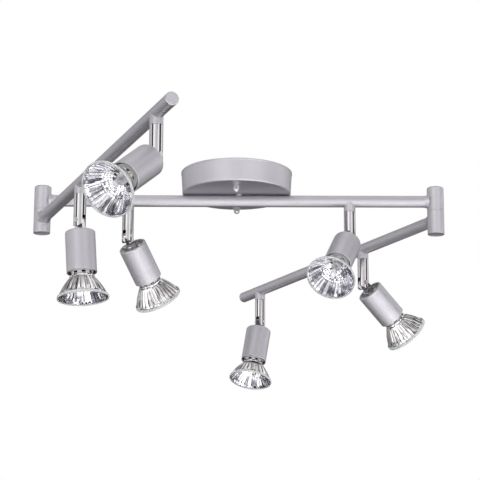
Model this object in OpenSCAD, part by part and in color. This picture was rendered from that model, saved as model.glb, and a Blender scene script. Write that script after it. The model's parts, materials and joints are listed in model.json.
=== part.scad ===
// Folding ceiling spotlight bar with six aimable lamp heads.
// A centre bar hangs under a round ceiling canopy, and a folding arm is hinged
// at each end of it. Two heads hang from the bar and two from each arm.
// The origin is the centre of the canopy's ceiling face, +Z is up and the
// fixture hangs in -Z. All lengths are in millimetres, all angles in degrees.

/* [Ceiling canopy] */
// Diameter of the canopy at the ceiling
canopy_d = 115; // [110:1:130]
// Height of the canopy
canopy_h = 23.5; // [21:0.5:30]
// Thickness of the canopy's spun sheet
canopy_wall = 1; // [0.8:0.1:1.4]
// Distance between the two cap nuts under the canopy
cap_nut_pitch = 80; // [72:1:84]
// How far the bar's middle sits to the right of the canopy's centre
bar_shift = 2.5; // [0:0.5:3]
// Hole spacing of the ceiling box that the bracket screws to
box_pitch = 88.9; // [85:0.1:90]

/* [Bar and arms] */
// Diameter of the bar and of the arm tubes
tube_d = 12.2; // [12.1:0.1:13]
// Wall of the tubes
tube_wall = 1.2; // [1:0.1:1.4]
// Distance between the two knuckle axes
bar_span = 406; // [396:1:420]
// Distance from one lamp to the next with the arms straight out
lamp_pitch = 228.6; // [220:0.1:236]
// Length of arm past its outer lamp
arm_overhang = 41; // [30:1:60]
// Direction of the left arm, seen from above, from the bar's right-hand end
left_arm_angle = -68.6; // [-110:0.1:-45]
// Direction of the right arm
right_arm_angle = 119.1; // [90:0.1:140]

/* [Knuckles] */
// Diameter of a knuckle
knuckle_d = 17.4; // [17:0.1:20]
// Height of a whole knuckle, both halves
knuckle_h = 50; // [48:1:56]
// Wall of a knuckle
knuckle_wall = 1.5; // [1.2:0.1:1.6]
// Gap between the two halves of a knuckle
knuckle_gap = 0.2; // [0.1:0.05:0.3]

/* [Stems] */
// Diameter of a stem and of the collar above it
stem_d = 12; // [11:0.1:12]
// Depth of the collar's lower face under the tube's axis
collar_drop = 11.3; // [11:0.1:13]
// Depth of the tilt pivot under the tube's axis
pivot_drop = 38; // [36:0.5:44]
// Width of the fork's slot
slot_w = 4.4; // [4.3:0.1:5]
// Thickness of the tongue that tilts in the slot
tongue_t = 4; // [3.4:0.1:4]

/* [Lamp heads] */
// Outside diameter of the barrel
barrel_d = 29; // [28:0.5:31]
// Distance from the tilt pivot to the top of the barrel
barrel_top = 11; // [11:0.5:14]
// Length of the barrel
barrel_len = 41; // [40:0.5:44]
// Wall of the barrel
barrel_wall = 1.1; // [0.8:0.1:1.3]
// Diameter of the reflector lamp
lamp_d = 50; // [49:0.5:51]
// Length of the reflector lamp that shows below the barrel
lamp_out = 25.7; // [25:0.1:28]

/* [Aiming] */
// Turn of head 1, outer lamp of the left arm
turn_1 = -125.7; // [-180:0.1:180]
// Tilt of head 1 from straight down
tilt_1 = 54.1; // [0:0.1:80]
// Turn of head 2, inner lamp of the left arm
turn_2 = -38.4; // [-180:0.1:180]
// Tilt of head 2
tilt_2 = 5.4; // [0:0.1:80]
// Turn of head 3, left lamp of the centre bar
turn_3 = 54.8; // [-180:0.1:180]
// Tilt of head 3
tilt_3 = 42.8; // [0:0.1:60]
// Turn of head 4, right lamp of the centre bar
turn_4 = -114.2; // [-180:0.1:180]
// Tilt of head 4
tilt_4 = 44.4; // [0:0.1:60]
// Turn of head 5, inner lamp of the right arm
turn_5 = 34.1; // [-180:0.1:180]
// Tilt of head 5
tilt_5 = 50.0; // [0:0.1:60]
// Turn of head 6, outer lamp of the right arm
turn_6 = -121.2; // [-180:0.1:180]
// Tilt of head 6
tilt_6 = 16.7; // [0:0.1:80]

/* [Hidden] */
$fn = 96;

silver_paint = [0.74, 0.73, 0.76];
chrome_col = [0.86, 0.85, 0.86];
zinc_col = [0.62, 0.63, 0.66];
ceramic_col = [0.95, 0.94, 0.9];

tube_r = tube_d / 2;
bore_r = tube_r - tube_wall;
knuckle_r = knuckle_d / 2;
// The bar touches the canopy's underside along one line

bar_axis = -(canopy_h + tube_r);
knuckle_top = bar_axis + 15;
knuckle_split = knuckle_top - knuckle_h / 2;
knuckle_foot = knuckle_top - knuckle_h;
arm_axis = bar_axis - 19.5;
cavity_r = knuckle_r - knuckle_wall;
floor_t = 2.5;

knuckle_x = bar_span / 2;
post_x = lamp_pitch / 2;
post_s1 = lamp_pitch - (knuckle_x - post_x);
post_s2 = post_s1 + lamp_pitch;
arm_end = post_s2 + arm_overhang;
cap_len = 6;

stem_r = stem_d / 2;
fork_r = stem_r + 0.3;
shoulder_t = 2.8;
shoulder_r = 3.5;
swivel_gap = 0.3;

barrel_r = barrel_d / 2;
barrel_foot = barrel_top + barrel_len;
lamp_face = barrel_foot + lamp_out;
lamp_r = lamp_d / 2;
recess = 0.8;
lid_t = 1.5;
socket_top = barrel_top + recess + lid_t;
socket_foot = lamp_face - 46.5;
socket_r = 11.2;
pin_pitch = 10;

TURN = [turn_1, turn_2, turn_3, turn_4, turn_5, turn_6];
TILT = [tilt_1, tilt_2, tilt_3, tilt_4, tilt_5, tilt_6];

function left_at(s) = [bar_shift - knuckle_x + s * cos(left_arm_angle), s * sin(left_arm_angle), arm_axis];
function right_at(s) = [bar_shift + knuckle_x + s * cos(right_arm_angle), s * sin(right_arm_angle), arm_axis];

// Where each stem hangs: a point on its tube's axis
POST = [
  left_at(post_s2), left_at(post_s1),
  [bar_shift - post_x, 0, bar_axis], [bar_shift + post_x, 0, bar_axis],
  right_at(post_s1), right_at(post_s2)
];

// Outside radius of the glass reflector at distance d from the tilt pivot
function bowl_r(d) = min(lamp_r - 0.5, sqrt(150 + 18.8 * (d - (lamp_face - 24.7))));
bowl_0 = lamp_face - 24.7;
bowl_1 = lamp_face - 2.6;
bowl_n = 9;

module at_post(k) {
  translate(POST[k - 1]) rotate([0, 0, TURN[k - 1]]) children();
}

// Head frame: the tilt pivot is the origin, its axis is Y and the lamp looks down -Z
module at_head(k) {
  at_post(k) translate([0, 0, -pivot_drop]) rotate([0, -TILT[k - 1], 0]) children();
}

module at_left_arm() {
  translate([bar_shift - knuckle_x, 0, 0]) rotate([0, 0, left_arm_angle]) children();
}

module at_right_arm() {
  translate([bar_shift + knuckle_x, 0, 0]) rotate([0, 0, right_arm_angle]) children();
}

// Straight rod along X from x0 to x1 at height z
module rod_x(r, x0, x1, z) {
  translate([x0, 0, z]) rotate([0, 90, 0]) cylinder(r = r, h = x1 - x0);
}

// Rod along Y, centred on the origin
module rod_y(r, len) {
  rotate([90, 0, 0]) cylinder(r = r, h = len, center = true);
}

// Vertical cylinder from z0 up to z1
module post_z(r, z0, z1) {
  translate([0, 0, z0]) cylinder(r = r, h = z1 - z0);
}

// Turned disc or sleeve with one rounded edge, z0 to z1, rounded at the end named by top
module round_plug(r, z0, z1, edge, top) {
  rotate_extrude()
    polygon(concat(
      [[0, z0]],
      top ? [[r, z0]] : [for (i = [0:6]) [r - edge + edge * sin(i * 15), z0 + edge - edge * cos(i * 15)]],
      top ? [for (i = [0:6]) [r - edge + edge * cos(i * 15), z1 - edge + edge * sin(i * 15)]] : [[r, z1]],
      [[0, z1]]));
}

// ---------------------------------------------------------------- canopy

module canopy() {
  r1 = canopy_d / 2;
  r2 = r1 - 1.5;
  w = canopy_wall;
  h = canopy_h;
  e = 2;
  color(silver_paint)
    difference() {
      rotate_extrude()
        polygon(concat(
          [[r1, 0], [r1, -1.4], [r1 - 0.35, -1.8]],
          [for (i = [0:6]) [r2 - e + e * cos(i * 15), -h + e - e * sin(i * 15)]],
          [[0, -h], [0, -h + w]],
          [for (i = [6:-1:0]) [r2 - e + (e - w) * cos(i * 15), -h + e - (e - w) * sin(i * 15)]],
          [[r1 - 0.35 - w, -1.8], [r1 - w, -1.4], [r1 - w, 0]]));
      translate([bar_shift, 0, 0]) post_z(4.2, -h - 1, -h + w + 1);
      for (s = [-1, 1]) translate([0, s * cap_nut_pitch / 2, 0]) post_z(2.3, -h - 1, -h + w + 1);
    }
}

// Pressed cross plate that screws to the ceiling box and carries the studs
module mounting_bracket() {
  t = 2;
  color(zinc_col)
    difference() {
      translate([0, 0, -t])
        linear_extrude(t)
          union() {
            square([box_pitch + 2.6, 16], center = true);
            for (s = [-1, 1]) translate([s * (box_pitch / 2 + 1.3), 0]) circle(r = 8);
            square([16, cap_nut_pitch + 2], center = true);
            for (s = [-1, 1]) translate([0, s * (cap_nut_pitch / 2 + 1)]) circle(r = 8);
            circle(r = 20);
          }
      post_z(9, -t - 1, 1);
      for (s = [-1, 1]) translate([s * box_pitch / 2, 0, 0]) post_z(2.4, -t - 1, 1);
      for (s = [-1, 1]) translate([0, s * cap_nut_pitch / 2, 0]) post_z(2.05, -t - 1, 1);
      translate([-14, 0, 0]) post_z(1.7, -t - 1, 1);
    }
}

// Two studs, each with its lock nut under the bracket
module canopy_studs() {
  color(zinc_col)
    for (s = [-1, 1])
      translate([0, s * cap_nut_pitch / 2, 0]) {
        post_z(2, -canopy_h - 6, -0.2);
        translate([0, 0, -5.2]) cylinder(r = 4, h = 3.2, $fn = 6);
      }
}

// Knurled cap nuts with a domed end
module canopy_cap_nuts() {
  r = 3.15;
  n = 26;
  color(chrome_col)
    for (s = [-1, 1])
      translate([0, s * cap_nut_pitch / 2, -canopy_h])
        difference() {
          union() {
            translate([0, 0, -5.4])
              linear_extrude(4.6)
                polygon([for (i = [0:2 * n - 1]) (r + (i % 2 == 0 ? 0.14 : -0.1)) * [cos(i * 180 / n), sin(i * 180 / n)]]);
            post_z(r - 0.2, -6, 0);
            rotate_extrude()
              polygon(concat([[0, -5.6], [r - 0.05, -5.6]],
                [for (i = [1:6]) [(r - 0.05) * cos(i * 15), -5.9 - 2.6 * sin(i * 15)]]));
          }
          post_z(2.05, -6.4, 1);
        }
}

module terminal_block() {
  color([0.93, 0.93, 0.9])
    difference() {
      translate([15, -7, -13]) cube([25, 14, 11]);
      for (s = [-1, 1])
        translate([bar_shift, s * 1.2, -7.5]) rotate([0, 0, s * 12]) rod_x(1.3, 8, 24, 0);
      for (x = [20, 27.5, 35])
        for (s = [-1, 1])
          translate([x, s * 3.9, 0]) post_z(1.1, -13.5, -10.5);
      translate([44, 0, -7.5]) rod_x(2.2, -9, 0, 0);
    }
}

// Two supply leads: terminal block, down the nipple, then out along the bar
module supply_leads() {
  r = 0.9;
  for (s = [-1, 1])
    color(s > 0 ? [0.15, 0.15, 0.16] : [0.92, 0.92, 0.92])
      translate([bar_shift, s * 1.2, 0]) {
        rotate([0, 0, s * 12]) rod_x(r, 0, 19, -7.5);
        translate([0, 0, -7.5]) sphere(r = r + 0.1);
        post_z(r, bar_axis, -7.5);
        translate([0, 0, bar_axis]) sphere(r = r + 0.1);
        rod_x(r, s > 0 ? 0 : -knuckle_x + 8, s > 0 ? knuckle_x - 8 : 0, bar_axis);
      }
}

// Hollow threaded nipple with its lock nut inside the canopy
module bar_nipple() {
  floor_z = -canopy_h + canopy_wall;
  color(zinc_col)
    translate([bar_shift, 0, 0]) {
      difference() {
        post_z(4, bar_axis + bore_r - 0.4, floor_z + 6.5);
        post_z(2.7, bar_axis, floor_z + 7);
      }
      difference() {
        translate([0, 0, floor_z]) cylinder(r = 7.5, h = 3.5, $fn = 6);
        post_z(4.04, floor_z - 1, floor_z + 4);
      }
    }
}

// ---------------------------------------------------------------- bar and arms

// Outside of a collar, from the tube's axis down
module collar_out(x, z) {
  translate([x, 0, z]) post_z(stem_r, -collar_drop, 0);
}

// Inside of a collar: the swivel hole through its shoulder, and the room above it
module collar_in(x, z) {
  translate([x, 0, z]) {
    post_z(shoulder_r, -collar_drop - 1, -2);
    post_z(4.55, -collar_drop + shoulder_t, -2);
  }
}

module centre_bar() {
  kx = knuckle_x;
  color(silver_paint)
    translate([bar_shift, 0, 0])
      difference() {
        union() {
          rod_x(tube_r, -kx, kx, bar_axis);
          for (s = [-1, 1]) {
            translate([s * kx, 0, 0])
              round_plug(knuckle_r, knuckle_split + knuckle_gap / 2, knuckle_top, 1.6, true);
            translate([s * (kx - knuckle_r - 2.6), 0, bar_axis]) rotate([0, s * 90, 0])
              cylinder(r1 = tube_r + 0.02, r2 = tube_r + 1.5, h = 4.4);
            collar_out(s * post_x, bar_axis);
          }
        }
        rod_x(bore_r, -kx, kx, bar_axis);
        for (s = [-1, 1]) {
          translate([s * kx, 0, 0]) {
            post_z(cavity_r, knuckle_split + floor_t, knuckle_top - 1.5);
            post_z(4.05, knuckle_split - 1, knuckle_split + floor_t + 1);
          }
          collar_in(s * post_x, bar_axis);
        }
        post_z(4.05, bar_axis + 2, bar_axis + tube_r + 1);
      }
}

// One folding arm in its own frame: knuckle axis at x = 0, tube along +X
module arm_body() {
  difference() {
    union() {
      rod_x(tube_r, 0, arm_end - cap_len, arm_axis);
      round_plug(knuckle_r, knuckle_foot, knuckle_split - knuckle_gap / 2, 0.6, false);
      translate([knuckle_r + 2.6, 0, arm_axis]) rotate([0, -90, 0])
        cylinder(r1 = tube_r + 0.02, r2 = tube_r + 1.5, h = 4.4);
      for (s = [post_s1, post_s2]) collar_out(s, arm_axis);
    }
    rod_x(bore_r, 0, arm_end, arm_axis);
    post_z(cavity_r, knuckle_foot - 1, knuckle_split - floor_t);
    post_z(4.05, knuckle_split - floor_t - 1, knuckle_split + 1);
    for (s = [post_s1, post_s2]) collar_in(s, arm_axis);
  }
}

module end_cap_body() {
  e = 0.9;
  translate([0, 0, arm_axis]) rotate([0, 90, 0]) {
    round_plug(tube_r, arm_end - cap_len, arm_end, e, true);
    post_z(bore_r - 0.04, arm_end - 2 * cap_len, arm_end - cap_len + 1);
  }
}

// Hollow pivot: flanged tube from below, washer and thin nut above
module pivot_bolt_body() {
  under = knuckle_split - floor_t;
  above = knuckle_split + floor_t;
  difference() {
    union() {
      post_z(4, under - 1.5, above + 5.6);
      post_z(6.2, under - 1.5, under);
    }
    post_z(2.7, under - 3, above + 7);
  }
  difference() {
    union() {
      post_z(6.4, above + 0.15, above + 1.15);
      translate([0, 0, above + 1.15]) cylinder(r = 6.6, h = 3.2, $fn = 6);
    }
    post_z(4.04, above - 1, above + 6);
  }
}

module knuckle_plug_body() {
  post_z(cavity_r - 0.04, knuckle_foot + 0.8, knuckle_foot + 2.3);
}

module arm_leads_body() {
  for (s = [-1, 1]) translate([0, s * 1.8, 0]) rod_x(0.9, 3, post_s2, arm_axis);
}

module left_arm() { color(silver_paint) at_left_arm() arm_body(); }
module left_arm_end_cap() { color(silver_paint) at_left_arm() end_cap_body(); }
module left_pivot_bolt() { color(zinc_col) at_left_arm() pivot_bolt_body(); }
module left_knuckle_plug() { color([0.4, 0.38, 0.4]) at_left_arm() knuckle_plug_body(); }
module left_arm_leads() { color([0.2, 0.2, 0.2]) at_left_arm() arm_leads_body(); }

module right_arm() { color(silver_paint) at_right_arm() arm_body(); }
module right_arm_end_cap() { color(silver_paint) at_right_arm() end_cap_body(); }
module right_pivot_bolt() { color(zinc_col) at_right_arm() pivot_bolt_body(); }
module right_knuckle_plug() { color([0.4, 0.38, 0.4]) at_right_arm() knuckle_plug_body(); }
module right_arm_leads() { color([0.2, 0.2, 0.2]) at_right_arm() arm_leads_body(); }

// ---------------------------------------------------------------- lamp heads

// Chrome stem: swaged swivel spigot above, slotted fork with round ends below
module stem(k) {
  top = -collar_drop - swivel_gap;
  lip = -collar_drop + shoulder_t + swivel_gap;
  color(chrome_col)
    at_post(k)
      difference() {
        union() {
          intersection() {
            post_z(stem_r, -pivot_drop - fork_r - 1, top);
            union() {
              translate([-stem_r - 1, -stem_r - 1, -pivot_drop]) cube([2 * stem_r + 2, 2 * stem_r + 2, pivot_drop]);
              translate([0, 0, -pivot_drop]) rod_y(fork_r, 2 * stem_r + 2);
            }
          }
          post_z(shoulder_r - 0.05, top - 1, lip + 1);
          post_z(4.3, lip, lip + 1);
        }
        post_z(2.1, -pivot_drop, 0);
        translate([-stem_r - 2, -slot_w / 2, -pivot_drop - fork_r - 2]) cube([2 * stem_r + 4, slot_w, fork_r + 2 + 5.5]);
        translate([0, 0, -pivot_drop]) {
          rod_y(1.55, 20);
          for (s = [-1, 1]) translate([0, s * (5.1 + 2), 0]) rod_y(2.65, 4);
        }
      }
}

// Flat tongue that tilts in the fork, with a flange on the barrel's lid
module tongue(k) {
  seat = -(barrel_top + recess);
  color(chrome_col)
    at_head(k)
      difference() {
        union() {
          rod_y(4.9, tongue_t);
          translate([-4.9, -tongue_t / 2, seat]) cube([9.8, tongue_t, -seat]);
          post_z(6.4, seat, seat + 1.2);
          post_z(3, seat - lid_t - 1.2, seat + 0.6);
        }
        rod_y(1.53, 20);
      }
}

// Pivot screw through the fork, and two screws that hold the socket
module head_screws(k) {
  seat = -(barrel_top + recess);
  color(zinc_col)
    at_head(k) {
      rod_y(1.5, 10.6);
      for (s = [-1, 1]) {
        translate([0, s * 5.6, 0]) rod_y(2.45, 0.8);
        translate([0, s * 9.3, 0]) {
          post_z(1.4, seat - 9, seat + 0.2);
          round_plug_at(2.1, seat, seat + 1.1);
        }
      }
    }
}

module round_plug_at(r, z0, z1) {
  round_plug(r, z0, z1, 0.8, true);
}

// Spun barrel: rolled top edge, recessed lid, open below
module barrel(k) {
  t = -barrel_top;
  e = 1.3;
  ri = barrel_r - barrel_wall;
  color(silver_paint)
    at_head(k)
      difference() {
        rotate_extrude()
          polygon(concat(
            [[0, t - recess], [barrel_r - 2.3, t - recess], [barrel_r - 2.1, t]],
            [for (i = [6:-1:0]) [barrel_r - e + e * cos(i * 15), t - e + e * sin(i * 15)]],
            [[barrel_r, -barrel_foot + 0.3], [barrel_r - 0.3, -barrel_foot], [ri, -barrel_foot]],
            [[ri, t - recess - lid_t], [0, t - recess - lid_t]]));
        post_z(3.03, t - 5, t + 1);
        for (s = [-1, 1]) translate([0, s * 9.3, 0]) post_z(1.45, t - 5, t + 1);
        for (s = [-1, 1]) translate([s * 9.4, 0, 0]) post_z(1.3, t - 5, t + 1);
      }
}

// Ceramic twist-lock socket with two keyhole slots
module lamp_socket(k) {
  t = -socket_top;
  b = -socket_foot;
  color(ceramic_col)
    at_head(k)
      difference() {
        rotate_extrude()
          polygon([[0, t], [socket_r - 0.8, t], [socket_r, t - 0.8], [socket_r, b + 1], [socket_r - 1, b], [0, b]]);
        post_z(4, t - 1.6, t + 1);
        for (s = [-1, 1]) {
          translate([0, s * 9.3, 0]) post_z(1.45, t - 8, t + 1);
          rotate([0, 0, s > 0 ? 0 : 180]) {
            translate([pin_pitch / 2, 0, 0]) post_z(2.9, b - 1, b + 9);
            translate([pin_pitch / 2 - 1.6, 0, b - 1]) cube([3.2, 6.2, 10]);
          }
        }
      }
}

// Reflector lamp: ceramic base with its two pins, and the glass bowl
module lamp(k) {
  color([0.85, 0.86, 0.88])
    at_head(k) {
      difference() {
        union() {
          rotate_extrude()
            polygon(concat(
              [[0, -socket_foot - 0.2], [11, -socket_foot - 0.2], [11.8, -socket_foot - 1], [11.8, -bowl_0 + 0.6]],
              [for (i = [0:bowl_n]) let (d = bowl_0 + (bowl_1 - bowl_0) * i / bowl_n) [bowl_r(d), -d]],
              [[lamp_r, -lamp_face + 2.3], [lamp_r, -lamp_face + 0.4], [lamp_r - 0.4, -lamp_face]],
              [[0, -lamp_face]]));
          for (s = [-1, 1])
            translate([s * pin_pitch / 2, 0, 0]) {
              post_z(1.3, -socket_foot - 1, -socket_foot + 6);
              post_z(2.4, -socket_foot + 5.4, -socket_foot + 7.4);
            }
        }
        rotate_extrude()
          polygon(concat(
            [[0, -bowl_0 - 1.6]],
            [for (i = [1:bowl_n]) let (d = bowl_0 + (bowl_1 - bowl_0) * i / bowl_n) [bowl_r(d) - 1.5, -d]],
            [[lamp_r - 2.6, -lamp_face + 2.2], [lamp_r - 1.3, -lamp_face + 2.2], [lamp_r - 1.3, -lamp_face - 1], [0, -lamp_face - 1]]));
      }
    }
}

// Clear cover glass seated in the lamp's rim
module lamp_glass(k) {
  r = lamp_r - 1.34;
  f = -lamp_face + 0.2;
  color([0.8, 0.92, 0.9, 0.5])
    at_head(k)
      rotate_extrude()
        polygon([[0, f - 0.1], [r * 0.5, f], [r - 0.5, f + 0.25], [r, f + 0.7], [r, f + 2], [0, f + 1.9]]);
}

canopy();
mounting_bracket();
canopy_studs();
canopy_cap_nuts();
terminal_block();
supply_leads();
bar_nipple();
centre_bar();
left_arm();
left_arm_end_cap();
left_pivot_bolt();
left_knuckle_plug();
left_arm_leads();
right_arm();
right_arm_end_cap();
right_pivot_bolt();
right_knuckle_plug();
right_arm_leads();
stem(1);  // stem_1
tongue(1);  // tongue_1
head_screws(1);  // head_screws_1
barrel(1);  // barrel_1
lamp_socket(1);  // lamp_socket_1
lamp(1);  // lamp_1
lamp_glass(1);  // lamp_glass_1
stem(2);  // stem_2
tongue(2);  // tongue_2
head_screws(2);  // head_screws_2
barrel(2);  // barrel_2
lamp_socket(2);  // lamp_socket_2
lamp(2);  // lamp_2
lamp_glass(2);  // lamp_glass_2
stem(3);  // stem_3
tongue(3);  // tongue_3
head_screws(3);  // head_screws_3
barrel(3);  // barrel_3
lamp_socket(3);  // lamp_socket_3
lamp(3);  // lamp_3
lamp_glass(3);  // lamp_glass_3
stem(4);  // stem_4
tongue(4);  // tongue_4
head_screws(4);  // head_screws_4
barrel(4);  // barrel_4
lamp_socket(4);  // lamp_socket_4
lamp(4);  // lamp_4
lamp_glass(4);  // lamp_glass_4
stem(5);  // stem_5
tongue(5);  // tongue_5
head_screws(5);  // head_screws_5
barrel(5);  // barrel_5
lamp_socket(5);  // lamp_socket_5
lamp(5);  // lamp_5
lamp_glass(5);  // lamp_glass_5
stem(6);  // stem_6
tongue(6);  // tongue_6
head_screws(6);  // head_screws_6
barrel(6);  // barrel_6
lamp_socket(6);  // lamp_socket_6
lamp(6);  // lamp_6
lamp_glass(6);  // lamp_glass_6
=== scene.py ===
import json
import math
import bpy
import bmesh
from mathutils import Matrix, Vector


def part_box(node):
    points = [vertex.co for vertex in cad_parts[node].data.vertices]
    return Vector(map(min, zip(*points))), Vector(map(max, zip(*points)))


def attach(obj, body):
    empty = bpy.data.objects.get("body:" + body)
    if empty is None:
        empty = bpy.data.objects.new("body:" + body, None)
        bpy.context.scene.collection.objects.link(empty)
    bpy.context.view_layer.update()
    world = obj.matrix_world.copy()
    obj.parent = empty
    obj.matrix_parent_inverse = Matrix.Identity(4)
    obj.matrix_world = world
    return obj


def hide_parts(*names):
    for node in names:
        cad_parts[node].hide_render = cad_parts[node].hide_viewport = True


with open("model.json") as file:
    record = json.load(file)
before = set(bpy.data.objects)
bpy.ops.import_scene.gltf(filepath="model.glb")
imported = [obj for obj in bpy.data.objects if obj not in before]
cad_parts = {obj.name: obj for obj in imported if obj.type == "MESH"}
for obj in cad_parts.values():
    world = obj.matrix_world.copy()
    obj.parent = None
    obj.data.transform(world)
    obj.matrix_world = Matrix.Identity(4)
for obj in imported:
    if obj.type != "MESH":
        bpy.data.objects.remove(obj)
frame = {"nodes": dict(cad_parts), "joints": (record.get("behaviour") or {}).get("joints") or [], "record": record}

MM = 0.001
FL = 36                # flutes round each lamp's bowl
NODES = frame["nodes"]
JOINTS = {j["name"]: j for j in frame["joints"]}
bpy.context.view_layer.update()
scene = bpy.context.scene

# ------------------------------------------------------------------ camera
# Long lens from the front and below, looking a little up at the fixture.
yaw, pitch, roll = math.radians(-0.328), math.radians(14.751), math.radians(0.261)
fwd = Vector((math.sin(yaw) * math.cos(pitch), math.cos(yaw) * math.cos(pitch), math.sin(pitch)))
right = Vector((math.cos(yaw), -math.sin(yaw), 0.0))
up = right.cross(fwd)
r2 = math.cos(roll) * right + math.sin(roll) * up
u2 = -math.sin(roll) * right + math.cos(roll) * up
cam_data = bpy.data.cameras.new("camera")
cam_data.sensor_width = 36.0
cam_data.sensor_fit = "HORIZONTAL"
cam_data.lens = 1876.18 / 480.0 * 36.0
cam_data.clip_start, cam_data.clip_end = 0.05, 60.0
cam = bpy.data.objects.new("camera", cam_data)
scene.collection.objects.link(cam)
m = Matrix((r2, u2, -fwd)).transposed().to_4x4()
m.translation = Vector((14.49, -1865.82, -562.26)) * MM
cam.matrix_world = m
scene.camera = cam

scene.view_settings.view_transform = "Standard"
scene.view_settings.look = "None"
scene.view_settings.exposure = 0.0
scene.view_settings.gamma = 1.0


# ------------------------------------------------------------------ node helpers
class Tree:
    """Small helper that adds shader nodes and links them."""

    def __init__(self, tree):
        self.t = tree
        tree.nodes.clear()

    def add(self, kind, **props):
        n = self.t.nodes.new(kind)
        for k, v in props.items():
            setattr(n, k, v)
        return n

    def put(self, node, **inputs):
        for k, v in inputs.items():
            key = k.replace("_", " ")
            sock = node.inputs[key] if key in node.inputs else node.inputs[k]
            if isinstance(v, bpy.types.NodeSocket):
                self.t.links.new(v, sock)
            else:
                sock.default_value = v
        return node

    def link(self, a, b):
        self.t.links.new(a, b)

    def math(self, op, a, b=None, c=None, clamp=False):
        n = self.add("ShaderNodeMath", operation=op, use_clamp=clamp)
        for i, v in enumerate((a, b, c)):
            if v is None:
                continue
            if isinstance(v, bpy.types.NodeSocket):
                self.t.links.new(v, n.inputs[i])
            else:
                n.inputs[i].default_value = v
        return n.outputs[0]

    def vmath(self, op, a, b=None):
        n = self.add("ShaderNodeVectorMath", operation=op)
        for i, v in enumerate((a, b)):
            if v is None:
                continue
            if isinstance(v, bpy.types.NodeSocket):
                self.t.links.new(v, n.inputs[i])
            else:
                n.inputs[i].default_value = v
        return n

    def ramp(self, fac, stops, interp="LINEAR"):
        n = self.add("ShaderNodeValToRGB")
        n.color_ramp.interpolation = interp
        el = n.color_ramp.elements
        while len(el) > 1:
            el.remove(el[-1])
        el[0].position = stops[0][0]
        el[0].color = stops[0][1]
        for p, c in stops[1:]:
            e = el.new(p)
            e.color = c
        self.t.links.new(fac, n.inputs[0])
        return n.outputs[0]

    def mix(self, fac, a, b, blend="MIX"):
        n = self.add("ShaderNodeMix", data_type="RGBA", blend_type=blend)
        for sock, v in ((n.inputs[0], fac), (n.inputs[6], a), (n.inputs[7], b)):
            if isinstance(v, bpy.types.NodeSocket):
                self.t.links.new(v, sock)
            else:
                sock.default_value = v
        return n.outputs[2]

    def span(self, v, lo, hi, a=0.0, b=1.0, smooth=True):
        n = self.add("ShaderNodeMapRange", interpolation_type="SMOOTHSTEP" if smooth else "LINEAR")
        self.t.links.new(v, n.inputs[0])
        n.inputs[1].default_value, n.inputs[2].default_value = lo, hi
        n.inputs[3].default_value, n.inputs[4].default_value = a, b
        return n.outputs[0]


def grey(v, t=(1.0, 1.0, 1.0)):
    return (v * t[0], v * t[1], v * t[2], 1.0)


def rgba(r, g, b):
    return (r, g, b, 1.0)


def new_material(name):
    mat = bpy.data.materials.new(name)
    mat.use_nodes = True
    t = Tree(mat.node_tree)
    out = t.add("ShaderNodeOutputMaterial")
    bsdf = t.add("ShaderNodeBsdfPrincipled")
    t.link(bsdf.outputs[0], out.inputs[0])
    return mat, t, bsdf, out


def noise(t, vec, scale, detail=3.0, rough=0.5, distortion=0.0):
    n = t.add("ShaderNodeTexNoise")
    t.put(n, Vector=vec, Scale=scale, Detail=detail, Roughness=rough, Distortion=distortion)
    return n.outputs[0]


def obj_coord(t):
    return t.add("ShaderNodeTexCoord").outputs["Object"]


# ------------------------------------------------------------------ materials
def paint_material(name, base, dark, wear_and_edge_highlight, rough=0.47):
    """Silver metallic lacquer: fine flake, faint orange peel, a little cloudiness, and lighter edges that are partly
    rubbed paint and partly a painted highlight.
    """
    mat, t, b, out = new_material(name)
    co = obj_coord(t)
    cloud = noise(t, co, 14.0, 4.0, 0.55)
    tone = t.ramp(cloud, [(0.3, rgba(*dark)), (0.7, rgba(*base))])
    flake = t.add("ShaderNodeTexVoronoi", feature="F1")
    t.put(flake, Vector=co, Scale=2600.0, Randomness=1.0)
    sep = t.add("ShaderNodeSeparateColor")
    t.link(flake.outputs["Color"], sep.inputs[0])
    fleck = t.span(sep.outputs[0], 0.0, 1.0, 0.93, 1.05, smooth=False)
    hsv = t.add("ShaderNodeHueSaturation")
    t.put(hsv, Color=tone, Value=fleck)
    # edges turn lighter: partly rubbed paint, partly a painted highlight along the edge
    bev = t.add("ShaderNodeBevel", samples=4)
    bev.inputs["Radius"].default_value = 0.0003
    geo = t.add("ShaderNodeNewGeometry")
    same = t.vmath("DOT_PRODUCT", bev.outputs[0], geo.outputs["Normal"]).outputs["Value"]
    edge = t.span(same, 0.995, 0.90, 0.0, 1.0)
    scuff = t.span(noise(t, co, 320.0, 2.0, 0.6), 0.42, 0.62, 0.35, 1.0)
    worn_and_highlit_edge = t.math("MULTIPLY", edge, scuff, clamp=True)
    colour = t.mix(worn_and_highlit_edge, hsv.outputs[0], rgba(*wear_and_edge_highlight))
    t.link(colour, b.inputs["Base Color"])
    peel = noise(t, co, 900.0, 2.0, 0.5)
    dust = noise(t, co, 60.0, 4.0, 0.6)
    r = t.math("ADD", t.span(dust, 0.3, 0.7, rough - 0.035, rough + 0.045), t.math("MULTIPLY", peel, 0.03))
    t.link(r, b.inputs["Roughness"])
    bump = t.add("ShaderNodeBump")
    t.put(bump, Strength=0.05, Distance=0.00006, Height=t.math("ADD", peel, t.math("MULTIPLY", sep.outputs[0], 0.15)), Normal=bev.outputs[0])
    t.link(bump.outputs[0], b.inputs["Normal"])
    b.inputs["Metallic"].default_value = 0.82
    b.inputs["Coat Weight"].default_value = 0.12
    b.inputs["Coat Roughness"].default_value = 0.22
    return mat


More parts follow.
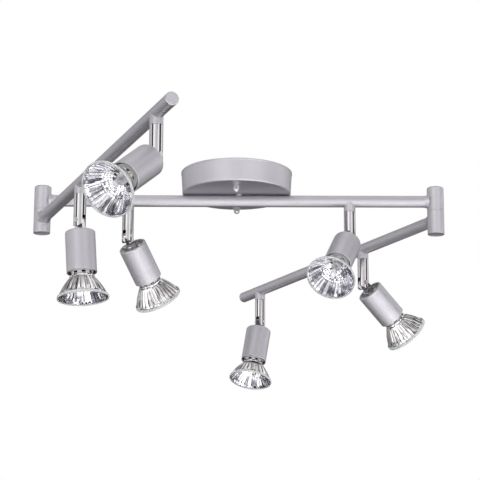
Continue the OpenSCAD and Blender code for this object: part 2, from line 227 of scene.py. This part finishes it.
def chrome_material(name, base, rough=0.07):
    """Polished plate with faint turning marks, fingerprints and hairline scratches."""
    mat, t, b, out = new_material(name)
    co = obj_coord(t)
    mist = noise(t, co, 45.0, 4.0, 0.6)
    tone = t.mix(t.span(mist, 0.35, 0.75), rgba(*base), rgba(base[0] * 0.9, base[1] * 0.885, base[2] * 0.89))
    t.link(tone, b.inputs["Base Color"])
    mp = t.add("ShaderNodeMapping")
    t.put(mp, Vector=co, Scale=(500.0, 500.0, 9000.0))
    marks = noise(t, mp.outputs[0], 1.0, 2.0, 0.5)
    r = t.math("ADD", t.span(mist, 0.3, 0.8, rough * 0.7, rough * 1.7), t.math("MULTIPLY", marks, 0.02))
    t.link(r, b.inputs["Roughness"])
    bump = t.add("ShaderNodeBump")
    t.put(bump, Strength=0.03, Distance=0.00002, Height=marks)
    t.link(bump.outputs[0], b.inputs["Normal"])
    b.inputs["Metallic"].default_value = 1.0
    return mat


def zinc_material(name, base, rough=0.3):
    """Zinc plate: mottled grey with a slightly warmer bloom."""
    mat, t, b, out = new_material(name)
    co = obj_coord(t)
    v = t.add("ShaderNodeTexVoronoi", feature="F1")
    t.put(v, Vector=co, Scale=420.0)
    spangle = t.add("ShaderNodeSeparateColor")
    t.link(v.outputs["Color"], spangle.inputs[0])
    tone = t.mix(spangle.outputs[0], rgba(*base), rgba(base[0] * 0.8, base[1] * 0.79, base[2] * 0.76))
    t.link(tone, b.inputs["Base Color"])
    n = noise(t, co, 260.0, 3.0, 0.6)
    t.link(t.span(n, 0.3, 0.7, rough - 0.06, rough + 0.1), b.inputs["Roughness"])
    bump = t.add("ShaderNodeBump")
    t.put(bump, Strength=0.12, Distance=0.00004, Height=n)
    t.link(bump.outputs[0], b.inputs["Normal"])
    b.inputs["Metallic"].default_value = 1.0
    return mat


def ceramic_material(name, base):
    mat, t, b, out = new_material(name)
    co = obj_coord(t)
    n = noise(t, co, 120.0, 5.0, 0.6)
    grain = noise(t, co, 1800.0, 2.0, 0.5)
    tone = t.mix(t.span(n, 0.35, 0.7), rgba(*base), rgba(base[0] * 0.9, base[1] * 0.88, base[2] * 0.83))
    speck = t.span(grain, 0.66, 0.74)
    tone = t.mix(t.math("MULTIPLY", speck, 0.5), tone, rgba(0.5, 0.47, 0.42))
    t.link(tone, b.inputs["Base Color"])
    t.link(t.span(n, 0.3, 0.7, 0.42, 0.6), b.inputs["Roughness"])
    bump = t.add("ShaderNodeBump")
    t.put(bump, Strength=0.25, Distance=0.00008, Height=grain)
    t.link(bump.outputs[0], b.inputs["Normal"])
    b.inputs["Specular IOR Level"].default_value = 0.4
    return mat


def plastic_material(name, base, rough=0.5, fine=1500.0):
    mat, t, b, out = new_material(name)
    co = obj_coord(t)
    n = noise(t, co, 90.0, 4.0, 0.6)
    g = noise(t, co, fine, 2.0, 0.5)
    tone = t.mix(t.span(n, 0.3, 0.7), rgba(*base), rgba(base[0] * 0.86, base[1] * 0.86, base[2] * 0.88))
    t.link(tone, b.inputs["Base Color"])
    t.link(t.span(n, 0.3, 0.7, rough - 0.06, rough + 0.08), b.inputs["Roughness"])
    bump = t.add("ShaderNodeBump")
    t.put(bump, Strength=0.3, Distance=0.00006, Height=g)
    t.link(bump.outputs[0], b.inputs["Normal"])
    return mat


def mirror_material(name, base, rough=0.045, tint=(0.86, 0.93, 0.92), groove_shade_width=0.13, groove_painted_shade=0.42, facet_reflection_tones=None, zones=(0.0, 0.0)):
    """Aluminised glass. Each pressed flute gets a painted reflection tone of its own, for the part of the room it would
    mirror, and the valleys between the flutes get painted shade. The facet rings near the throat (zones, in metres)
    break up further."""
    mat, t, b, out = new_material(name)
    co = obj_coord(t)
    n = noise(t, co, 130.0, 3.0, 0.55)
    tone = t.mix(t.span(n, 0.35, 0.75), rgba(*base), rgba(base[0] * tint[0], base[1] * tint[1], base[2] * tint[2]))
    xyz = t.add("ShaderNodeSeparateXYZ")
    t.link(co, xyz.inputs[0])
    ang = t.math("ADD", t.math("MULTIPLY", t.math("ARCTAN2", xyz.outputs[1], xyz.outputs[0]), FL / (2 * math.pi)), 64.0)
    saw = t.math("FRACT", ang)
    flute = t.math("FLOOR", ang)
    # rings of facets: whole flutes outside the zone, 1.9 mm steps inside it
    deep = t.math("MAXIMUM", t.math("SUBTRACT", xyz.outputs[2], zones[0]), 0.0)
    ring = t.math("FLOOR", t.math("MULTIPLY", deep, zones[1]))
    cell = t.add("ShaderNodeCombineXYZ")
    t.link(t.math("ADD", flute, 0.5), cell.inputs[0])
    t.link(t.math("ADD", ring, 0.5), cell.inputs[1])
    # painted reflection: each flute cell takes its own tone from the ramp, broken up by stripes, as if mirroring a
    # different part of the room
    rnd = t.add("ShaderNodeTexWhiteNoise", noise_dimensions="2D")
    t.link(cell.outputs[0], rnd.inputs["Vector"])
    reflection_streak = noise(t, co, 95.0, 2.0, 0.5)
    reflection_pick = t.math("ADD", t.math("MULTIPLY", rnd.outputs["Value"], 0.62), t.span(reflection_streak, 0.3, 0.7, 0.0, 0.38))
    tone = t.mix(1.0, tone, t.ramp(reflection_pick, facet_reflection_tones), "MULTIPLY")
    # painted shade in the valleys between the flutes, uneven along them
    valley = t.math("MULTIPLY", t.math("ABSOLUTE", t.math("SUBTRACT", saw, 0.5)), 2.0)
    uneven = t.span(noise(t, co, 210.0, 2.0, 0.5), 0.35, 0.65, 0.45, 1.0)
    shade = t.math("MULTIPLY", t.span(valley, 1.0 - groove_shade_width, 1.0 - groove_shade_width * 0.35), uneven)
    tone = t.mix(shade, tone, rgba(base[0] * groove_painted_shade, base[1] * groove_painted_shade, base[2] * groove_painted_shade * 1.06))
    t.link(tone, b.inputs["Base Color"])
    t.link(t.span(n, 0.3, 0.8, rough, rough * 2.2), b.inputs["Roughness"])
    rip = noise(t, co, 700.0, 2.0, 0.5)
    bump = t.add("ShaderNodeBump")
    t.put(bump, Strength=0.06, Distance=0.00005, Height=rip)
    t.link(bump.outputs[0], b.inputs["Normal"])
    b.inputs["Metallic"].default_value = 1.0
    return mat


def glass_material(name, base, rough=0.01, ior=1.47):
    """Clear pressed glass with a slight green tint and a soft ripple."""
    mat, t, b, out = new_material(name)
    co = obj_coord(t)
    n = noise(t, co, 160.0, 3.0, 0.5)
    tone = t.mix(t.span(n, 0.3, 0.7), rgba(*base), rgba(base[0] * 0.985, base[1] * 0.99, base[2] * 0.988))
    t.link(tone, b.inputs["Base Color"])
    t.link(t.span(n, 0.3, 0.8, rough, rough + 0.008), b.inputs["Roughness"])
    bump = t.add("ShaderNodeBump")
    t.put(bump, Strength=0.03, Distance=0.00006, Height=noise(t, co, 420.0, 1.0, 0.5))
    t.link(bump.outputs[0], b.inputs["Normal"])
    b.inputs["Transmission Weight"].default_value = 1.0
    b.inputs["IOR"].default_value = ior
    return mat


def rim_material(name, base):
    """Thick fire-polished edge of pressed glass: milky clear, greener in noise patches."""
    mat, t, b, out = new_material(name)
    co = obj_coord(t)
    n = noise(t, co, 240.0, 3.0, 0.5)
    t.link(t.mix(t.span(n, 0.35, 0.7), rgba(*base), rgba(base[0] * 0.88, base[1] * 0.91, base[2] * 0.91)), b.inputs["Base Color"])
    t.link(t.span(n, 0.3, 0.7, 0.06, 0.13), b.inputs["Roughness"])
    bump = t.add("ShaderNodeBump")
    t.put(bump, Strength=0.08, Distance=0.00006, Height=noise(t, co, 700.0, 1.0, 0.5))
    t.link(bump.outputs[0], b.inputs["Normal"])
    b.inputs["Transmission Weight"].default_value = 0.5
    b.inputs["IOR"].default_value = 1.38
    return mat


def frost_material(name, base):
    """Sand-blasted glass: mostly white, with clearer patches and a fine grain."""
    mat, t, b, out = new_material(name)
    co = obj_coord(t)
    n = noise(t, co, 420.0, 3.0, 0.5)
    t.link(t.mix(t.span(n, 0.35, 0.7), rgba(*base), rgba(base[0] * 0.9, base[1] * 0.92, base[2] * 0.95)), b.inputs["Base Color"])
    t.link(t.span(n, 0.3, 0.7, 0.22, 0.36), b.inputs["Roughness"])
    bump = t.add("ShaderNodeBump")
    t.put(bump, Strength=0.2, Distance=0.00004, Height=noise(t, co, 2600.0, 1.0, 0.5))
    t.link(bump.outputs[0], b.inputs["Normal"])
    b.inputs["Transmission Weight"].default_value = 0.35
    b.inputs["IOR"].default_value = 1.45
    return mat


MAT = {
    # colours: base, the cloud's darker tone, and the lighter edge colour (rubbed paint and a painted edge highlight)
    "silver_paint": paint_material("silver_paint", (0.56, 0.545, 0.585), (0.515, 0.50, 0.54), (0.90, 0.89, 0.92)),
    "bright_chrome": chrome_material("bright_chrome", (0.60, 0.585, 0.60), 0.10),
    "zinc_steel": zinc_material("zinc_steel", (0.62, 0.62, 0.64)),
    "terminal_plastic": plastic_material("terminal_plastic", (0.80, 0.80, 0.75), 0.45),
    "lead_insulation": plastic_material("lead_insulation", (0.045, 0.045, 0.05), 0.4),
    "plug_plastic": plastic_material("plug_plastic", (0.34, 0.32, 0.345), 0.42),
    "socket_ceramic": ceramic_material("socket_ceramic", (0.80, 0.79, 0.75)),
    "clear_glass": glass_material("clear_glass", (0.985, 1.0, 0.995)),
    "rim_glass": rim_material("rim_glass", (0.95, 0.955, 0.955)),
    "cover_glass": glass_material("cover_glass", (1.0, 0.997, 1.0), 0.0, 1.12),
    "capsule_glass": frost_material("capsule_glass", (0.93, 0.94, 0.95)),
    # lamp glass: the ramps are painted reflection tones for the flutes; the two numbers before each ramp set the width
    # and depth of the painted shade in the valleys
    "lamp_reflector": mirror_material("lamp_reflector", (0.84, 0.835, 0.85), 0.03, (0.97, 0.97, 0.985), 0.2, 0.12,
                                     [(0.0, rgba(0.085, 0.085, 0.11)), (0.27, rgba(0.22, 0.22, 0.255)),
                                      (0.38, rgba(0.60, 0.60, 0.62)), (0.52, rgba(0.96, 0.955, 0.965)),
                                      (1.0, rgba(1.0, 1.0, 1.0))], (-0.0646, 520.0)),
    "lamp_back": mirror_material("lamp_back", (0.86, 0.855, 0.86), 0.05, (0.93, 0.915, 0.905), 0.13, 0.4,
                                [(0.0, rgba(0.30, 0.285, 0.285)), (0.30, rgba(0.46, 0.445, 0.445)),
                                 (0.48, rgba(0.80, 0.79, 0.79)), (1.0, rgba(1.0, 1.0, 1.0))]),
    # greyer than the socket's ceramic: the lamp base is darkened as painted shade where it sits in the barrel's mouth
    "lamp_ceramic": ceramic_material("lamp_ceramic", (0.62, 0.615, 0.625)),
    # near-black for vent holes and notch floors: painted shade inside them
    "vent_painted_shade": plastic_material("vent_painted_shade", (0.02, 0.018, 0.018), 0.6),
    # the lid plate is dark grey, far darker than the barrel paint round the recess
    "lid_grey": zinc_material("lid_grey", (0.30, 0.28, 0.285), 0.34),
    "lamp_tungsten": zinc_material("lamp_tungsten", (0.28, 0.27, 0.27), 0.35),
}

SLOTS = {s["node"]: s["material_slot"] for s in frame["record"]["subparts"]}
for name, ob in NODES.items():
    mat = MAT.get(SLOTS.get(name), MAT["silver_paint"])
    ob.data.materials.clear()
    ob.data.materials.append(mat)


# ------------------------------------------------------------------ mesh helpers
def mesh_object(name, bm, mats, matrix, sharp=35.0):
    bmesh.ops.recalc_face_normals(bm, faces=bm.faces)
    me = bpy.data.meshes.new(name)
    bm.normal_update()
    lim = math.radians(sharp)
    for e in bm.edges:
        if len(e.link_faces) == 2 and e.calc_face_angle(0.0) > lim:
            e.smooth = False
    for f in bm.faces:
        f.smooth = True
    bm.to_mesh(me)
    bm.free()
    for mt in mats:
        me.materials.append(mt)
    ob = bpy.data.objects.new(name, me)
    scene.collection.objects.link(ob)
    ob.matrix_world = matrix
    return ob


def ring_grid(bm, rows, closed_rows=False, mat=0, mats=None):
    """Skins rows of points (each row a closed ring of the same length) and returns the vertex rows."""
    vs = [[bm.verts.new(p) for p in row] for row in rows]
    n = len(rows[0])
    pairs = range(len(vs) if closed_rows else len(vs) - 1)
    for i in pairs:
        a, b = vs[i], vs[(i + 1) % len(vs)]
        for j in range(n):
            f = bm.faces.new((a[j], a[(j + 1) % n], b[(j + 1) % n], b[j]))
            f.material_index = mats[i] if mats else mat
    return vs


def cap(bm, ring, centre, mat=0):
    c = bm.verts.new(centre)
    n = len(ring)
    for j in range(n):
        f = bm.faces.new((ring[j], ring[(j + 1) % n], c))
        f.material_index = mat


def lathe(bm, profile, segs=64, mat=0, mats=None, ends=True, closed=False):
    """Turns a profile of (radius, z) about Z."""
    rows = [[Vector((r * math.cos(2 * math.pi * j / segs), r * math.sin(2 * math.pi * j / segs), z)) * MM
             for j in range(segs)] for r, z in profile]
    vs = ring_grid(bm, rows, closed_rows=closed, mat=mat, mats=mats)
    if ends and not closed:
        cap(bm, vs[0], Vector((0, 0, profile[0][1])) * MM, mats[0] if mats else mat)
        cap(bm, vs[-1], Vector((0, 0, profile[-1][1])) * MM, mats[-1] if mats else mat)
    return vs


def head_matrix(k):
    """Head frame: the tilt pivot is the origin, its axis is Y and the lamp looks down -Z."""
    tilt = JOINTS["head_%d_tilt" % k]
    piv = Vector(tilt["pos_m"])
    lo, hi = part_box("lamp_glass_%d" % k)
    d = ((lo + hi) / 2 - piv).normalized()
    z = -d
    y = -Vector(tilt["axis"]).normalized()
    y = (y - z * y.dot(z)).normalized()
    x = y.cross(z)
    mat = Matrix((x, y, z)).transposed().to_4x4()
    mat.translation = piv
    return mat


# ------------------------------------------------------------------ the reflector lamps
FACE = 77.7            # front of the lamp, from the tilt pivot
NECK = FACE - 24.7     # where the glass bowl starts
JOINT_TOP = 11.0       # top of the barrel, from the tilt pivot


def bowl_out(d):
    """Outside radius of the bowl at distance d from the pivot: narrow at the neck, then flaring."""
    pts = [(55.4, 12.0), (57.5, 12.6), (60.0, 14.6), (63.0, 16.9), (66.0, 19.0), (70.0, 21.3), (73.0, 22.8), (75.2, 23.7)]
    for (a, ra), (b, rb) in zip(pts, pts[1:]):
        if d <= b:
            return ra + (rb - ra) * max(0.0, (d - a) / (b - a))
    return pts[-1][1]


def bowl_in(d):
    """Inside radius of the bowl, a shallow paraboloid."""
    return min(math.sqrt(25.0 + 25.2 * (d - 56.0)), bowl_out(d) - 0.9) if d > 57.5 else 5.0 + 2.4 * (d - 56.0)


def fluted_ring(r, d, depth, per=6, nx=0.0):
    """One ring of points with FL shallow flutes; nx leans the flute's crown along the axis."""
    pts = []
    for j in range(FL):
        for q in range(per):
            u = q / per
            a = 2 * math.pi * (j + u) / FL
            h = depth * (1 - (2 * u - 1) ** 2)
            rr = r + h
            pts.append(Vector((rr * math.cos(a), rr * math.sin(a), -(d + nx * h))) * MM)
    return pts


def make_bowl(k, M):
    bm = bmesh.new()
    per = 6
    rows, mats = [], []
    # outside, from the thick neck to the rim
    for r, d in ((9.6, 55.5), (10.9, 55.2), (11.7, 55.3), (12.0, 55.7), (12.0, 56.6), (11.75, 57.1)):
        rows.append(fluted_ring(r, d, 0.0, per)); mats.append(0)
    n = 16
    d0, d1 = 57.6, FACE - 3.3
    for i in range(n + 1):
        d = d0 + (d1 - d0) * i / n
        fade = min(1.0, i / 2.0) * min(1.0, (n - i) / 1.5)
        rr = (bowl_out(d - 0.6) + bowl_out(d) + bowl_out(d + 0.6)) / 3
        rows.append(fluted_ring(rr, d, -0.5 * fade * (rr / 24.0), per)); mats.append(0)
    rows.append(fluted_ring(24.0, FACE - 2.9, 0.0, per)); mats.append(0)
    rows.append(fluted_ring(24.0, FACE - 2.2, 0.0, per)); mats.append(1)
    rows.append(fluted_ring(22.95, FACE - 2.2, 0.0, per)); mats.append(1)
    # inside, from the rim to the throat: long flutes, then rings of small pillows
    n = 9
    d0, d1 = FACE - 2.7, 63.2
    for i in range(n + 1):
        d = d0 + (d1 - d0) * i / n
        end = min(1.0, i / 1.0, (n - i) / 1.0)
        rows.append(fluted_ring(bowl_in(d), d, -0.42 * end, per)); mats.append(1)
    steps = [63.2, 61.3, 59.6, 58.2, 57.1]
    for s in range(len(steps) - 1):
        a, b = steps[s], steps[s + 1]
        for i in range(1, 4):
            d = a + (b - a) * i / 3
            v = i / 3
            bulge = 1 - (2 * v - 1) ** 2
            rows.append(fluted_ring(bowl_in(d) - 0.16 * bulge, d, -0.26 * bulge, per)); mats.append(1)
    rows.append(fluted_ring(5.0, 56.2, 0.0, per)); mats.append(1)
    rows.append(fluted_ring(4.6, 55.0, 0.0, per)); mats.append(1)
    ring_grid(bm, rows, closed_rows=True, mats=mats + [0])
    ob = mesh_object("lamp_bowl_%d" % k, bm, [MAT["lamp_back"], MAT["lamp_reflector"]], M, sharp=9.0)
    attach(ob, "head_%d" % k)
    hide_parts("lamp_%d" % k)
    return ob


def make_rim(k, M):
    """Thick clear rim of the glass bowl, which the cover sits in."""
    bm = bmesh.new()
    f = -FACE
    prof = [(24.05, f + 2.9), (24.6, f + 2.6), (24.95, f + 1.9), (25.0, f + 0.9), (24.85, f + 0.3), (24.45, f),
            (23.95, f + 0.05), (23.72, f + 0.35), (23.7, f + 2.1), (24.05, f + 2.15)]
    lathe(bm, prof, 96, closed=True)
    ob = mesh_object("lamp_rim_%d" % k, bm, [MAT["rim_glass"]], M, sharp=50.0)
    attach(ob, "head_%d" % k)
    return ob


def make_cover(k, M):
    bm = bmesh.new()
    f = -FACE
    prof = [(6.0, f + 0.02), (14.0, f + 0.12), (20.0, f + 0.3), (22.6, f + 0.42), (23.3, f + 0.62), (23.62, f + 1.0),
            (23.62, f + 1.75), (23.3, f + 2.0), (20.0, f + 1.95), (10.0, f + 1.85)]
    lathe(bm, prof, 96)
    ob = mesh_object("lamp_cover_%d" % k, bm, [MAT["cover_glass"]], M, sharp=50.0)
    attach(ob, "head_%d" % k)
    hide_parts("lamp_glass_%d" % k)
    return ob


def make_base(k, M):
    """Ceramic base: round body, a ring of vent notches just below the barrel with floors painted near-black as shade,
    and two mushroom pins.
    """
    bm = bmesh.new()
    segs, count = 120, 8
    top = 31.2
    spec = [(10.6, top, 0), (11.5, top + 0.3, 0), (11.8, top + 1.0, 0), (11.8, top + 9.0, 0), (11.45, top + 9.6, 0),
            (11.45, top + 12.0, 0), (11.8, top + 12.6, 0), (11.8, 49.6, 0), (10.6, 50.2, 0), (10.4, 51.95, 0),
            (10.4, 52.0, 2.4), (10.4, 54.2, 2.4), (10.4, 54.25, 0), (10.4, 55.0, 0), (10.1, 55.25, 0), (9.4, 55.3, 0)]
    rows, open_ = [], []
    for j in range(segs):
        open_.append(((j * count / segs) % 1.0) < 0.38)
    for r, d, nt in spec:
        rows.append([Vector(((r - (nt if open_[j] else 0.0)) * math.cos(2 * math.pi * j / segs),
                             (r - (nt if open_[j] else 0.0)) * math.sin(2 * math.pi * j / segs), -d)) * MM
                     for j in range(segs)])
    vs = ring_grid(bm, rows)
    cap(bm, vs[0], Vector((0, 0, -top)) * MM)
    cap(bm, vs[-1], Vector((0, 0, -55.3)) * MM)
    # the notch floors get the near-black material: painted shade in the notches
    deep = {v for row in vs[10:12] for j, v in enumerate(row) if open_[j]}
    for f in bm.faces:
        if sum(v in deep for v in f.verts) >= 2:
            f.material_index = 1
    ob = mesh_object("lamp_base_%d" % k, bm, [MAT["lamp_ceramic"], MAT["vent_painted_shade"]], M, sharp=40.0)
    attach(ob, "head_%d" % k)
    bm = bmesh.new()
    for s in (-1, 1):
        before = set(bm.verts)
        lathe(bm, [(1.3, -31.6), (1.3, -25.9), (2.1, -25.7), (2.4, -25.2), (2.4, -24.3), (2.1, -23.85)], 24)
        bmesh.ops.translate(bm, verts=[v for v in bm.verts if v not in before], vec=Vector((s * 5.0, 0, 0)) * MM)
    pins = mesh_object("lamp_pins_%d" % k, bm, [MAT["zinc_steel"]], M, sharp=40.0)
    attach(pins, "head_%d" % k)
    return ob


def make_lid(k, M):
    """Pressed grey plate in the recess on top of the barrel: a raised ring, and small vents round it, drawn as tiny
    bumps painted near-black for the shade in their holes.
    """
    bm = bmesh.new()
    seat = -(JOINT_TOP + 0.8)
    segs = 96
    spec = [(3.6, 0.02), (3.6, 0.22), (6.6, 0.22), (6.8, 0.3), (7.2, 0.3), (7.4, 0.22), (11.2, 0.22), (11.55, 0.42),
            (11.9, 0.42), (12.0, 0.02)]
    lathe(bm, [(r, seat + h) for r, h in spec], segs, closed=True)
    ob = mesh_object("lid_plate_%d" % k, bm, [MAT["lid_grey"]], M, sharp=40.0)
    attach(ob, "head_%d" % k)
    bm = bmesh.new()
    # vents: small raised bumps coloured near-black, a painted shade standing in for holes
    for a in (25, 65, 115, 155, 205, 245, 295, 335):
        before = set(bm.verts)
        lathe(bm, [(0.9, seat + 0.16), (0.9, seat + 0.27), (0.75, seat + 0.3), (0.55, seat + 0.27)], 14)
        off = Vector((9.3 * math.cos(math.radians(a)), 9.3 * math.sin(math.radians(a)), 0)) * MM
        bmesh.ops.translate(bm, verts=[v for v in bm.verts if v not in before], vec=off)
    ob = mesh_object("lid_vents_%d" % k, bm, [MAT["vent_painted_shade"]], M, sharp=40.0)
    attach(ob, "head_%d" % k)


def make_capsule(k, M):
    """Halogen capsule with its pinched foot and coiled filament."""
    bm = bmesh.new()
    prof = [(1.2, -54.9), (2.5, -55.2), (2.6, -57.6), (2.9, -58.8), (3.0, -60.0), (3.0, -63.4), (2.8, -64.6), (2.1, -65.6), (1.1, -66.1)]
    vs = lathe(bm, prof, 28)
    for row in vs[1:3]:
        for v in row:
            v.co.y *= 0.55
    cap_ob = mesh_object("lamp_capsule_%d" % k, bm, [MAT["capsule_glass"]], M, sharp=50.0)
    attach(cap_ob, "head_%d" % k)
    # filament: a small coil across the capsule on two legs
    bm = bmesh.new()
    pts = []
    for i in range(5):
        pts.append(Vector((-1.3, 0, -57.9 - i * 0.95)))
    turns, per = 8, 8
    for i in range(turns * per + 1):
        a = 2 * math.pi * i / per
        pts.append(Vector((-1.3 + 2.6 * i / (turns * per), 0.42 * math.sin(a), -62.1 - 0.42 * math.cos(a) + 0.42)))
    for i in range(5):
        pts.append(Vector((1.3, 0, -61.7 + i * 0.95)))
    tube(bm, pts, 0.13, 6)
    fil = mesh_object("lamp_filament_%d" % k, bm, [MAT["lamp_tungsten"]], M, sharp=60.0)
    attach(fil, "head_%d" % k)
    return cap_ob


def tube(bm, pts, r, sides):
    rows = []
    ref = Vector((0, 1, 0))
    for i, p in enumerate(pts):
        a = pts[max(0, i - 1)]
        b = pts[min(len(pts) - 1, i + 1)]
        tng = (b - a).normalized()
        side = tng.cross(ref)
        if side.length < 1e-3:
            side = tng.cross(Vector((1, 0, 0)))
        side.normalize()
        ref = side.cross(tng).normalized()
        rows.append([(p + r * (math.cos(2 * math.pi * j / sides) * side + math.sin(2 * math.pi * j / sides) * ref)) * MM
                     for j in range(sides)])
    vs = ring_grid(bm, rows)
    cap(bm, vs[0], pts[0] * MM)
    cap(bm, vs[-1], pts[-1] * MM)


for k in range(1, 7):
    M = head_matrix(k)
    make_bowl(k, M)
    make_rim(k, M)
    make_cover(k, M)
    make_base(k, M)
    make_lid(k, M)
    make_capsule(k, M)


# ------------------------------------------------------------------ floor, world and lights
def make_floor():
    bm = bmesh.new()
    z = -2.55
    bmesh.ops.create_grid(bm, x_segments=4, y_segments=4, size=9.0)
    for v in bm.verts:
        v.co.z = z
    mat, t, b, out = new_material("floor")
    co = obj_coord(t)
    n = noise(t, co, 3.0, 3.0, 0.5)
    t.link(t.mix(n, rgba(0.92, 0.92, 0.92), rgba(0.95, 0.95, 0.95)), b.inputs["Base Color"])
    b.inputs["Roughness"].default_value = 0.7
    # the fixture hangs above the viewer, so the floor is open when looked at from underneath
    clear = t.add("ShaderNodeBsdfTransparent")
    side = t.add("ShaderNodeMixShader")
    t.link(t.add("ShaderNodeNewGeometry").outputs["Backfacing"], side.inputs[0])
    t.link(b.outputs[0], side.inputs[1])
    t.link(clear.outputs[0], side.inputs[2])
    t.link(side.outputs[0], out.inputs[0])
    ob = mesh_object("floor", bm, [mat], Matrix.Identity(4), sharp=60)
    if ob.data.polygons[0].normal.z < 0:
        ob.data.flip_normals()
    # the soft lights below the fixture shine past the floor
    ob.visible_glossy = ob.visible_diffuse = ob.visible_transmission = False
    return ob


make_floor()

world = bpy.data.worlds.new("studio")
scene.world = world
world.use_nodes = True
t = Tree(world.node_tree)
out = t.add("ShaderNodeOutputWorld")
dirn = t.add("ShaderNodeTexCoord").outputs["Generated"]


def aim(azimuth, elevation):
    """Direction in the room: azimuth 0 is the camera's side, positive is to the right."""
    a, e = math.radians(azimuth), math.radians(elevation)
    return Vector((math.sin(a) * math.cos(e), -math.cos(a) * math.cos(e), math.sin(e)))


def soft_lobe(azimuth, elevation, strength, width=7.0):
    """A large soft light: strength at its centre, falling off as a Gaussian on the sphere."""
    d = t.vmath("DOT_PRODUCT", dirn, tuple(aim(azimuth, elevation))).outputs["Value"]
    return t.math("MULTIPLY", t.math("EXPONENT", t.math("MULTIPLY_ADD", d, width, -width)), strength)


sepd = t.add("ShaderNodeSeparateXYZ")
t.link(dirn, sepd.inputs[0])
az = t.math("ARCTAN2", sepd.outputs[0], t.math("MULTIPLY", sepd.outputs[1], -1.0))
el = t.math("ARCSINE", sepd.outputs[2])


def window(v, centre, half, edge):
    """1 within half of the centre, in degrees, and 0 further than an edge beyond it."""
    off = t.math("ABSOLUTE", t.math("SUBTRACT", v, math.radians(centre)))
    return t.span(off, math.radians(half + edge), math.radians(half), 0.0, 1.0)


def dark_gap(lum, az_c, az_h, el_c, el_h, depth, edge=4.0):
    """A black gap between the studio's soft boxes."""
    w = t.math("MULTIPLY", window(az, az_c, az_h, edge), window(el, el_c, el_h, edge))
    return t.math("MULTIPLY", lum, t.math("MULTIPLY_ADD", w, -depth, 1.0))


LIGHTS = [(0, -45, 0.53), (28, -45, 0.87), (-28, -45, 0.59), (60, -45, 1.08), (-60, -45, 0.53), (95, -45, 0.32),
          (0, -12, 0.20), (28, -12, 0.63), (-28, -12, 0.99), (60, -12, 1.41), (-60, -12, 1.31), (95, -12, 0.85),
          (-95, -12, 0.39), (135, -12, 0.23), (-135, -12, 0.20), (0, 18, 0.03), (-28, 18, 0.58), (60, 18, 0.53),
          (-60, 18, 0.67), (95, 18, 0.31), (135, 18, 0.09), (-135, 18, 0.58), (180, 18, 0.18), (50, 45, 0.53),
          (110, 45, 0.80), (-110, 45, 0.07), (180, 45, 0.98), (0, 75, 0.99), (0, -80, 1.35)]
lum = None
for row in LIGHTS:
    one = soft_lobe(*row)
    lum = one if lum is None else t.math("ADD", lum, one)
GAPS = [(-60, 14, 16, 8, 0.95), (74, 18, 16, 8, 0.95), (165, 14, 10, 50, 0.8), (-150, 10, 0, 50, 0.75),
        (-95, 5, -35, 30, 0.92), (-42, 3, -38, 28, 0.92), (-12, 2.5, -38, 22, 0.92), (50, 2.5, -35, 30, 0.92),
        (112, 5, -30, 30, 0.92), (0, 120, -62, 2.5, 0.92), (-80, 35, -27, 2.5, 0.92), (90, 30, -27, 2.5, 0.92),
        (0, 120, 37, 3, 0.9), (0, 170, 60, 3, 0.9)]
for g in GAPS:
    lum = dark_gap(lum, *g)
lum = t.math("MAXIMUM", lum, 0.02)
studio = t.add("ShaderNodeBackground")
col = t.add("ShaderNodeCombineColor")
for i in range(3):
    t.link(lum, col.inputs[i])
t.link(col.outputs[0], studio.inputs[0])
white = t.add("ShaderNodeBackground")
white.inputs[0].default_value = (1, 1, 1, 1)
white.inputs[1].default_value = 1.0
lp = t.add("ShaderNodeLightPath")
mix = t.add("ShaderNodeMixShader")
t.link(lp.outputs["Is Camera Ray"], mix.inputs[0])
t.link(studio.outputs[0], mix.inputs[1])
t.link(white.outputs[0], mix.inputs[2])
t.link(mix.outputs[0], out.inputs[0])


def area(name, loc, target, size, power, size_y=None):
    d = bpy.data.lights.new(name, "AREA")
    d.shape = "RECTANGLE"
    d.size, d.size_y = size, size_y or size
    d.energy = power
    ob = bpy.data.objects.new(name, d)
    scene.collection.objects.link(ob)
    ob.location = loc
    ob.rotation_euler = (Vector(target) - Vector(loc)).to_track_quat("-Z", "Y").to_euler()
    ob.visible_camera = False
    return ob


area("top", (-0.6, -1.2, 1.6), (0, 0, -0.1), 1.2, 3.0)
